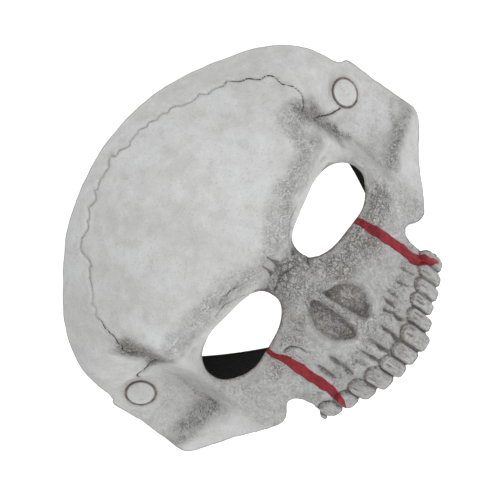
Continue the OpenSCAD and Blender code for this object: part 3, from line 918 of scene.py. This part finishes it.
def trim(x, z, triangles, value):
    """Cuts a triangle mesh where value falls below zero. Returns the new places and triangles."""
    side = value > 0
    kept = side[triangles]
    whole = triangles[kept.all(1)]
    crossing = triangles[kept.any(1) & ~kept.all(1)]
    places_x, places_z, cut_at, extra = list(x), list(z), {}, []

    def cut(i, j):
        key = (min(i, j), max(i, j))
        if key not in cut_at:
            t = np.clip(value[i] / (value[i] - value[j]), 0.02, 0.98)
            cut_at[key] = len(places_x)
            places_x.append(x[i] + t * (x[j] - x[i]))
            places_z.append(z[i] + t * (z[j] - z[i]))
        return cut_at[key]

    for tri in crossing:
        ring = []
        for i, j in zip(tri, np.roll(tri, -1)):
            if side[i]:
                ring.append(i)
            if side[i] != side[j]:
                ring.append(cut(i, j))
        extra += [(ring[0], ring[k], ring[k + 1]) for k in range(1, len(ring) - 1)]
    triangles = np.concatenate([whole, np.array(extra)])
    used, flat = np.unique(triangles, return_inverse=True)
    return np.array(places_x)[used], np.array(places_z)[used], flat.reshape(-1, 3)


def loops(triangles):
    """The open borders of a triangle mesh, each as a ring of point numbers."""
    edges = np.concatenate([triangles[:, [0, 1]], triangles[:, [1, 2]], triangles[:, [2, 0]]])
    both = {(int(i), int(j)) for i, j in edges}
    following = {i: j for i, j in both if (j, i) not in both}
    rings = []
    while following:
        start = next(iter(following))
        ring = [start]
        while True:
            nxt = following.pop(ring[-1], None)
            if nxt is None or nxt == start:
                break
            ring.append(nxt)
        rings.append(ring)
    return [ring for ring in rings if len(ring) > 20]


def zip_rings(points, ring_a, ring_b):
    """Triangles between two rings with different numbers of points."""
    a, b = points[ring_a], points[ring_b]
    first = int(np.argmin(np.linalg.norm(b - a[0], axis=1)))
    ring_b = ring_b[first:] + ring_b[:first]
    b = points[ring_b]
    faces, i, j = [], 0, 0
    na, nb = len(ring_a), len(ring_b)
    while i < na or j < nb:
        step_a = np.linalg.norm(a[(i + 1) % na] - b[j % nb]) if i < na else 1e9
        step_b = np.linalg.norm(b[(j + 1) % nb] - a[i % na]) if j < nb else 1e9
        if step_a <= step_b:
            faces.append((ring_a[i % na], ring_a[(i + 1) % na], ring_b[j % nb]))
            i += 1
        else:
            faces.append((ring_a[i % na], ring_b[(j + 1) % nb], ring_b[j % nb]))
            j += 1
    return faces


LATEX = 2.6


def skin(face_rows, dome_rows, columns):
    """A trimmed grid of the whole face: places and triangles."""
    x, z, triangles = face_grid(face_rows, dome_rows, columns)
    return trim(x, z, triangles, keep(x, broad_y(x, z), z))


def away_from_seat(points):
    """The outward direction of the nearer stud, for each point."""
    return np.where(points[:, :1] < 0, STUD_OUT * np.array([-1, 1, 1]), STUD_OUT)


def settle(points):
    """The upper corners of the dome sit a little lower than a true ellipsoid."""
    a = np.abs(points[:, 0])
    amount = (2.2 + 0.4 * np.sign(points[:, 0])) * bell((a - 60) / 26, (points[:, 2] - 78) / 22)
    return points - amount[:, None] * np.stack([np.sign(points[:, 0]) * 0.62, 0 * a, 0 * a + 0.78], -1)


def outer_points(x, z):
    """Points of the painted side, with the flat seats of the studs pressed in."""
    base = np.stack([x, broad_y(x, z), z], -1)
    sink, maps = relief(x, z, base)
    points = base + sink[:, None] * inward(x, z)
    reach_, height = stud_reach(points)
    level = -height * (1 - smooth(SEAT_R + 0.6, SEAT_R + 6, reach_))
    lip = smooth(SEAT_R - 0.9, SEAT_R + 0.3, reach_) * (1 - smooth(SEAT_R + 0.8, SEAT_R + 5, reach_))
    points = points + (level + SEAT_LIP * lip)[:, None] * away_from_seat(points)
    maps["stud_mm"] = reach_
    return settle(points), maps


def inner_points(x, z):
    """Points of the bare side, flat behind the studs."""
    base = np.stack([x, broad_y(x, z), z], -1)
    wave = 0.3 * noise(base, 16, 31) + 0.12 * noise(base, 5, 32)
    depth = LATEX + 0.85 * nose_relief(x, z) + wave
    points = base + depth[:, None] * inward(x, z)
    reach_, height = stud_reach(points)
    level = (SEAT_BACK - height) * (1 - smooth(12.6, 16, reach_))
    return settle(points + level[:, None] * away_from_seat(points))


ox, oz, outer_tris = skin(136, 140, 268)
outer_xyz, maps = outer_points(ox, oz)
ix, iz, inner_tris = skin(62, 66, 120)
inner_xyz = inner_points(ix, iz)
print("outer skin:", len(outer_tris), "triangles; inner skin:", len(inner_tris))

# %% Close the shell
shell_points = np.concatenate([outer_xyz, inner_xyz])
inner_tris = inner_tris[:, ::-1] + len(outer_xyz)
rim_faces = []
outer_rings, inner_rings = loops(outer_tris), loops(inner_tris)


def mismatch(ring, other):
    """How badly two rings pair up, by their places and numbers of points."""
    apart = np.linalg.norm(shell_points[other].mean(0) - shell_points[ring].mean(0))
    return abs(len(other) - len(ring) / 2) * 0.2 + apart


for ring in outer_rings:
    partner = min(inner_rings, key=lambda other: mismatch(ring, other))
    rim_faces += zip_rings(shell_points, ring, partner[::-1])
print("rings:", [len(r) for r in outer_rings], [len(r) for r in inner_rings])
print("rim faces:", len(rim_faces))


# %% What the brush followed, and where shade is painted
def averaged(values, triangles, rounds):
    """Values smoothed over the mesh, a little wider each round."""
    i = triangles[:, [0, 1, 2, 1, 2, 0]].ravel()
    j = triangles[:, [1, 2, 0, 0, 1, 2]].ravel()
    count = np.bincount(i, minlength=len(values))
    for _ in range(rounds):
        sums = [np.bincount(i, column[j], len(values)) for column in values.T]
        values = np.stack(sums, 1) / count[:, None]
    return values


# How hollow each place is; the paint darkens the hollows with wash and painted shade
into = inward(ox, oz)
near = ((outer_xyz - averaged(outer_xyz, outer_tris, 10)) * into).sum(1)
wide = ((outer_xyz - averaged(outer_xyz, outer_tris, 90)) * into).sum(1)
hollow_wash_and_shade = np.clip(near / 0.55, -1, 1) * 0.55 + np.clip((wide + 0.25) / 2.2, -1, 1) * 0.6
nose_in = smooth(-0.2, 1.6, nose_wall(ox, oz))
under_gum = gum_z(ox) - oz
tooth_gap = smooth(-1, 0.5, under_gum) * smooth(0.72, 1.0, np.abs(tooth_place(ox)[1]))
neck = bell((under_gum - 0.2) / 0.9) * (np.abs(ox) < TEETH_HALF)
hollow_wash_and_shade = hollow_wash_and_shade * (1 - 0.6 * smooth(56, 66, np.abs(ox)))
nose_edge = nose_in * bell((nose_wall(ox, oz) - 1.1) / 1.1)
maps["hollow_wash_and_shade"] = np.clip(hollow_wash_and_shade * (1 - 0.8 * nose_in) + 0.5 * nose_edge, 0, 1)
# Inside the nose opening the darkening is wash and painted shade
maps["wash"] = np.maximum(brushed_on(ox, oz, WASHES, 41), 0.38 * nose_in)
worked = 0.1 + 0.3 * smooth(16, 2, oz) * smooth(76, 62, np.abs(ox))
maps["grain"] = np.maximum(brushed_on(ox, oz, GRAINS, 43), worked)
# Painted shade and wash in the tooth gaps, along the gum line, in the root furrows and in the nose
furrows = np.clip(root_relief(ox, oz), 0, 1.3) / 1.3
maps["groove_wash_and_shade"] = np.maximum.reduce([0.95 * tooth_gap, 0.85 * neck, 0.95 * furrows, 0.45 * nose_in])
maps["tooth"] = smooth(-0.3, 1.5, under_gum) * (np.abs(ox) < TEETH_HALF)
maps["crack_fade"] = 1 - 0.9 * smooth(66, 80, oz + 12 * smooth(0, -60, ox))
maps["edge_mm"] = np.maximum(0, keep(ox, broad_y(ox, oz), oz))

# %% Join the skins
all_tris = outer_tris.tolist() + inner_tris.tolist() + [tuple(int(v) for v in f) for f in rim_faces]
shell = new_object("face_shell_latex", shell_points, all_tris, latex_paint, 50)
shell.data.materials.append(bare_latex)
bm = bmesh.new()
bm.from_mesh(shell.data)
bmesh.ops.recalc_face_normals(bm, faces=bm.faces)
open_edges = sum(len(e.link_faces) != 2 for e in bm.edges)
bm.to_mesh(shell.data)
bm.free()
print("shell:", len(shell.data.polygons), "faces;", open_edges, "open edges")

inner_count = len(inner_xyz)
for face in shell.data.polygons:
    face.material_index = int(min(face.vertices) >= len(outer_xyz))
for name, values in maps.items():
    far = 0 if name in ("hollow_wash_and_shade", "wash", "grain", "groove_wash_and_shade", "tooth", "crack_fade") else 99
    layer = shell.data.attributes.new(name, "FLOAT", "POINT")
    filled = np.concatenate([values, np.full(inner_count, far)])
    layer.data.foreach_set("value", filled.astype(np.float32))
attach(shell, "shell")
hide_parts("face_shell")


# %% [markdown]
# ## Studs, patches and eyelets
# A snap stud is turned or moulded, so each of its parts is a profile spun round one axis. The
# cap sits in a shallow seat in the latex and is painted with it. Behind the latex come a cotton
# patch, a washer, an eyelet in the doubled end of the elastic and the socket that the post snaps
# into.

# %% Spun parts
def stud_frame(side):
    """Columns: back along the temple, up, and out of the mask; then the stud's place."""
    out = STUD_OUT * np.array([side, 1, 1])
    up_ = np.array([0, 0, 1.0])
    back = np.cross(up_, out) * side
    return back, up_, out, STUD_AT * np.array([side, 1, 1])


def spun(name, side, profile, material, wobble=0.0, steps=96, smooth_angle=35):
    """A profile of (radius, height) points spun round a stud's axis."""
    back, up_, out, centre = stud_frame(side)
    rows = []
    for radius, height in profile:
        angle = np.linspace(0, 2 * math.pi, steps, endpoint=False)
        edge = radius + wobble * radius / 12 * np.sin(angle * 7 + 1) * np.sin(angle * 3)
        across = np.outer(edge * np.cos(angle), back) + np.outer(edge * np.sin(angle), up_)
        rows.append(centre + across + height * out)
    points = np.concatenate(rows)
    n, m = len(profile), steps
    closed = profile[0] == profile[-1]
    faces = []
    for i in range(n - 1):
        a, b = i * m, (0 if closed and i == n - 2 else (i + 1) * m)
        faces += [(a + k, a + (k + 1) % m, b + (k + 1) % m, b + k) for k in range(m)]
    if closed:
        points = points[:-m]
    else:
        faces += [tuple(range(m)), tuple((n - 1) * m + k for k in range(m))]
    made = new_object(name, points, faces, material, smooth_angle)
    bm = bmesh.new()
    bm.from_mesh(made.data)
    bmesh.ops.remove_doubles(bm, verts=bm.verts, dist=1e-6)
    bmesh.ops.recalc_face_normals(bm, faces=bm.faces)
    bm.to_mesh(made.data)
    bm.free()
    return made


def rounded(corners, radius, steps=4):
    """A profile whose corners are rounded."""
    out = []
    count = len(corners)
    for k, point in enumerate(corners):
        if k in (0, count - 1):
            out.append(point)
            continue
        p = np.array(point, float)
        before, after = np.array(corners[k - 1], float) - p, np.array(corners[k + 1], float) - p
        r = min(radius, np.linalg.norm(before) * 0.45, np.linalg.norm(after) * 0.45)
        a, b = p + before / np.linalg.norm(before) * r, p + after / np.linalg.norm(after) * r
        for t in np.linspace(0, 1, steps + 1):
            q = (1 - t) ** 2 * a + 2 * t * (1 - t) * p + t * t * b
            out.append((float(q[0]), float(q[1])))
    return out


CAP_R = 7.0
CAP_PROFILE = [
    (0.02, 1.5), (2, 1.47), (4, 1.32), (5.6, 1.05), (6.6, 0.72), (7.0, 0.42), (7.0, 0.05), (2, 0.05),
    (2, -9.2), (0.02, -9.25),
]
SOCKET_PROFILE = [
    (2.0, -7.65), (6, -7.65), (6, -8.6), (5.0, -9.5), (3.2, -10.15), (1.4, -10.15), (1.2, -9.9),
    (0.02, -9.9),
]
PATCH_PROFILE = [(2.06, -3.02), (11.9, -3.02), (12, -3.4), (11.8, -3.78), (2.06, -3.78), (2.06, -3.02)]
WASHER_PROFILE = [
    (2.06, -3.82), (7.9, -3.82), (7.9, -4.58), (5.2, -4.58), (5.0, -4.45), (4.6, -4.45), (4.4, -4.58),
    (2.06, -4.58), (2.06, -3.82),
]
EYELET_PROFILE = [
    (2.06, -4.62), (4.2, -4.62), (4.5, -4.8), (4.2, -5.0), (2.56, -5.0), (2.56, -7.2), (4.2, -7.2),
    (4.5, -7.4), (4.2, -7.6), (2.06, -7.6), (2.06, -4.62),
]

for side, hand in ((1, "left"), (-1, "right")):
    cap = spun(f"{hand}_cap", side, rounded(CAP_PROFILE, 0.35), cap_paint)
    _, _, out, centre = stud_frame(side)
    points = np.array([v.co for v in cap.data.vertices]) / MM - centre
    height = points @ out
    radius = np.linalg.norm(points - height[:, None] * out, axis=1)
    layer = cap.data.attributes.new("rim_mm", "FLOAT", "POINT")
    layer.data.foreach_set("value", (CAP_R - radius).astype(np.float32))
    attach(cap, f"{hand}_stud")
    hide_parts(f"{hand}_stud_cap")
    socket = spun(f"{hand}_socket", side, rounded(SOCKET_PROFILE, 0.3), plastic)
    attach(socket, f"{hand}_stud")
    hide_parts(f"{hand}_stud_socket")
    for name, node, profile, material, slot, wobble in (
        ("patch", "backing_patch", PATCH_PROFILE, cotton, "cotton_cloth", 0.25),
        ("washer_disc", "washer", WASHER_PROFILE, plastic, "black_plastic", 0),
        ("eyelet_ring", "eyelet", EYELET_PROFILE, steel, "steel_eyelet", 0),
    ):
        piece = spun(f"{hand}_{name}", side, rounded(profile, 0.15), material, wobble=wobble)
        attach(piece, "shell")
        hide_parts(f"{hand}_{node}")


# %% [markdown]
# ## The elastic
# One length of 20 mm woven elastic: each end is folded double, stitched and pierced by its
# eyelet, then the strap turns back round the temple and hangs behind the face. It is made as a
# ribbon swept along one path, because a real strap keeps its width and only bends and twists.

# %% Path of the strap
STRAP_W, STRAP_T = 20.0, 1.1
STRAP_LOW, STRAP_LOW_X, BAND_POWER, DROOP_HALF = -75, 16, 2.0, 84.4
BAND_Y, TURN_Z = 13.0, 9.0
# Layers behind the stud: the middle of the doubled strap, and the stitches on its inner face
FOLD_DEPTH, STITCH_DEPTH = 6.1, 7.28
TEMPLE_ANGLE = math.radians(28)
END_LENGTH = 60
LEAN_MAX, LEAN_SPAN = math.radians(50), 60


def droop(x):
    """Height of the hanging strap's middle line."""
    u = abs(x - STRAP_LOW_X) / (DROOP_HALF - math.copysign(STRAP_LOW_X, x - STRAP_LOW_X))
    return STRAP_LOW + (TURN_Z - STRAP_LOW) * u ** BAND_POWER


def strap_back(side):
    """The direction in which a strap end lies along the temple."""
    return np.array([math.cos(TEMPLE_ANGLE) * side, math.sin(TEMPLE_ANGLE), 0])


def end_path(side):
    """From the cut end, round the fold at the tip, under the stud and back to the turn."""
    _, _, out, centre = stud_frame(side)
    back = strap_back(side)
    middle = centre - FOLD_DEPTH * out
    half = STRAP_T / 2 + 0.03
    outer = [middle + s * back + half * out for s in (7.8, 4, 0, -4, -8, -9.6)]
    tip = [middle + (-9.6 - half * math.sin(t)) * back + half * math.cos(t) * out for t in (0.8, 1.57, 2.35)]
    inner = [middle + s * back - half * out for s in (-9.6, -8, -4, 0, 4, 8)]
    turn_back = [
        (93.3 * side, 0.6, 13), (93.6 * side, 4.2, 12.9), (92.9 * side, 8.0, 12.2), (90.4 * side, 11.4, 10.6),
    ]
    return outer + tip + inner + [np.array(p, float) for p in turn_back]


def distances(points):
    """Length along a path up to each of its points."""
    return np.concatenate([[0], np.cumsum(np.linalg.norm(np.diff(points, axis=0), axis=1))])


band_path = [np.array([x, BAND_Y, droop(x)]) for x in np.linspace(-84.6, 84.2, 60)]
path = np.array(end_path(-1) + band_path + end_path(1)[::-1])
along_path = distances(path)
full = along_path[-1]
steps_along = np.concatenate([
    np.linspace(0, END_LENGTH, 121)[:-1],
    np.linspace(END_LENGTH, full - END_LENGTH, 200),
    full - np.linspace(END_LENGTH, 0, 121)[1:],
])
path = np.stack([np.interp(steps_along, along_path, path[:, k]) for k in range(3)], 1)
for _ in range(6):
    path[1:-1] = (path[:-2] + 2 * path[1:-1] + path[2:]) / 4

# %% Sweep the ribbon
section = []
for t in np.linspace(-1, 1, 15):
    section.append((t * STRAP_W / 2, STRAP_T / 2 * (1 - 0.35 * abs(t) ** 14)))
section += [(-w, -h) for w, h in section]
tangent = np.gradient(path, axis=0)
tangent /= np.linalg.norm(tangent, axis=1)[:, None]
wide_dir = np.array([0, 0, 1.0]) - tangent[:, 2:] * tangent
wide_dir /= np.linalg.norm(wide_dir, axis=1)[:, None]
back_dir = np.cross(tangent, wide_dir)
middle_part = smooth(70, 100, full / 2 - np.abs(steps_along - full / 2))
# The strap sags a little more on the wearer's left
path[:, 2] -= 3 * bell((path[:, 0] - 50) / 22) * middle_part
lean = LEAN_MAX * np.exp(-((path[:, 0] - STRAP_LOW_X) / LEAN_SPAN) ** 2) * middle_part
w_dir = np.cos(lean)[:, None] * wide_dir + np.sin(lean)[:, None] * back_dir
n_dir = np.cross(tangent, w_dir)
across_strap, off_strap = np.array(section).T
rings_along = []
for p, w, n in zip(path, w_dir, n_dir):
    rings_along.append(p + np.outer(across_strap, w) + np.outer(off_strap, n))
ribbon_points = np.concatenate(rings_along)
m = len(section)
ribbon_faces = []
for k in range(len(path) - 1):
    for c in range(m):
        d = (c + 1) % m
        ribbon_faces.append((k * m + c, k * m + d, (k + 1) * m + d, (k + 1) * m + c))
ribbon_faces += [tuple(range(m)), tuple((len(path) - 1) * m + c for c in range(m))]
strap = new_object("elastic_strap", ribbon_points, ribbon_faces, elastic, 40)
uv = strap.data.uv_layers.new(name="strap_mm")
along_mm = distances(path)
for loop in strap.data.loops:
    k, c = divmod(loop.vertex_index, m)
    uv.data[loop.index].uv = (along_mm[k], section[c][0] + STRAP_W / 2)
bm = bmesh.new()
bm.from_mesh(strap.data)
bmesh.ops.recalc_face_normals(bm, faces=bm.faces)
bm.to_mesh(strap.data)
bm.free()
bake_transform(strap)
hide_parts("strap_band", "left_strap_end", "right_strap_end")


# %% [markdown]
# ## Stitches
# Each folded end is closed by two rows of lockstitch across the strap. One stitch is a short
# thread that rises out of the cloth and dips back, so one stitch is instanced along each row.

# %% Stitch rows, grown with geometry nodes
def stitch_tree():
    """Instances of one bowed thread along each line of a mesh."""
    group = bpy.data.node_groups.new("lockstitch_rows", "GeometryNodeTree")
    face = group.interface
    face.new_socket("Rows", in_out="INPUT", socket_type="NodeSocketGeometry")
    sizes = {"Stitch pitch": 2.6, "Stitch length": 1.9, "Thread radius": 0.24, "Rise": 0.6}
    for name, value in sizes.items():
        socket = face.new_socket(name, in_out="INPUT", socket_type="NodeSocketFloat")
        socket.default_value = value * MM
    face.new_socket("Outward", in_out="INPUT", socket_type="NodeSocketVector").default_value = (0, 0, 1)
    face.new_socket("Seed", in_out="INPUT", socket_type="NodeSocketInt").default_value = 7
    face.new_socket("Stitches", in_out="OUTPUT", socket_type="NodeSocketGeometry")
    start = add(group, "NodeGroupInput")
    lines = add(group, "GeometryNodeMeshToCurve", Mesh=start.outputs["Rows"])
    points = add(group, "GeometryNodeResampleCurve", {"mode": "LENGTH"}, Curve=lines.outputs[0],
                 Length=start.outputs["Stitch pitch"])
    along_ = add(group, "GeometryNodeInputTangent")
    face_out = add(group, "FunctionNodeAlignRotationToVector", {"axis": "Z"}, Vector=start.outputs["Outward"])
    turned = add(group, "FunctionNodeAlignRotationToVector", {"axis": "X", "pivot_axis": "Z"},
                 Rotation=face_out.outputs[0], Vector=along_.outputs[0])
    tilt = add(group, "FunctionNodeRandomValue", {"data_type": "FLOAT"}, Seed=start.outputs["Seed"])
    tilt.inputs[2].default_value, tilt.inputs[3].default_value = 0.88, 1.1
    half_length = times(group, start.outputs["Stitch length"], 0.5)
    one_end = add(group, "ShaderNodeCombineXYZ", X=times(group, half_length, -1.0))
    peak = add(group, "ShaderNodeCombineXYZ", Z=start.outputs["Rise"])
    other_end = add(group, "ShaderNodeCombineXYZ", X=half_length)
    arc = add(group, "GeometryNodeCurveQuadraticBezier", Resolution=8, Start=one_end.outputs[0],
              Middle=peak.outputs[0], End=other_end.outputs[0])
    ring = add(group, "GeometryNodeCurvePrimitiveCircle", Resolution=10,
               Radius=start.outputs["Thread radius"])
    tube = add(group, "GeometryNodeCurveToMesh", Curve=arc.outputs[0], Profile_Curve=ring.outputs[0],
               Fill_Caps=True)
    grown = add(group, "GeometryNodeInstanceOnPoints", Points=points.outputs[0], Instance=tube.outputs[0],
                Rotation=turned.outputs[0], Scale=tilt.outputs[1])
    solid = add(group, "GeometryNodeRealizeInstances", Geometry=grown.outputs[0])
    shaded = add(group, "GeometryNodeSetMaterial", Geometry=solid.outputs[0], Material=thread)
    end = add(group, "NodeGroupOutput")
    group.links.new(shaded.outputs[0], end.inputs[0])
    return group


def grow(name, points_mm, edges, group, **settings):
    """Runs a geometry node group on lines and keeps the plain result."""
    mesh = bpy.data.meshes.new(name + "_rows")
    mesh.from_pydata((np.asarray(points_mm) * MM).tolist(), edges, [])
    base = bpy.data.objects.new(name + "_rows", mesh)
    bpy.context.scene.collection.objects.link(base)
    modifier = base.modifiers.new("rows", "NODES")
    modifier.node_group = group
    for item in group.interface.items_tree:
        if item.name in settings:
            modifier[item.identifier] = settings[item.name]
    bpy.context.view_layer.update()
    grown = base.evaluated_get(bpy.context.evaluated_depsgraph_get())
    result = bpy.data.meshes.new_from_object(grown)
    bpy.data.objects.remove(base)
    obj = bpy.data.objects.new(name, result)
    bpy.context.scene.collection.objects.link(obj)
    return obj


rows_tree = stitch_tree()
for side, hand in ((1, "left"), (-1, "right")):
    _, up_, out, centre = stud_frame(side)
    ends, edges = [], []
    for row in (-7.6, 7.6):
        for reach_ in (-8.4, 8.4):
            ends.append(centre + row * strap_back(side) + reach_ * up_ - STITCH_DEPTH * out)
        edges.append((len(ends) - 2, len(ends) - 1))
    outward = tuple(float(v) for v in -out)
    stitches = grow(f"{hand}_stitches", ends, edges, rows_tree, Outward=outward, Seed=7 if side > 0 else 11)
    print(stitches.name, len(stitches.data.polygons), "faces")
    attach(stitches, "shell")
    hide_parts(f"{hand}_strap_stitching")

# %% [markdown]
# ## Sizes
# The boxes of the CAD model and of the finished visual model are printed side by side.

# %% Print the sizes
VISUAL_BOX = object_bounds()
for label, box in (("CAD", CAD_BOX), ("visual", VISUAL_BOX)):
    print(label, [[round(v / MM, 1) for v in corner] for corner in box])
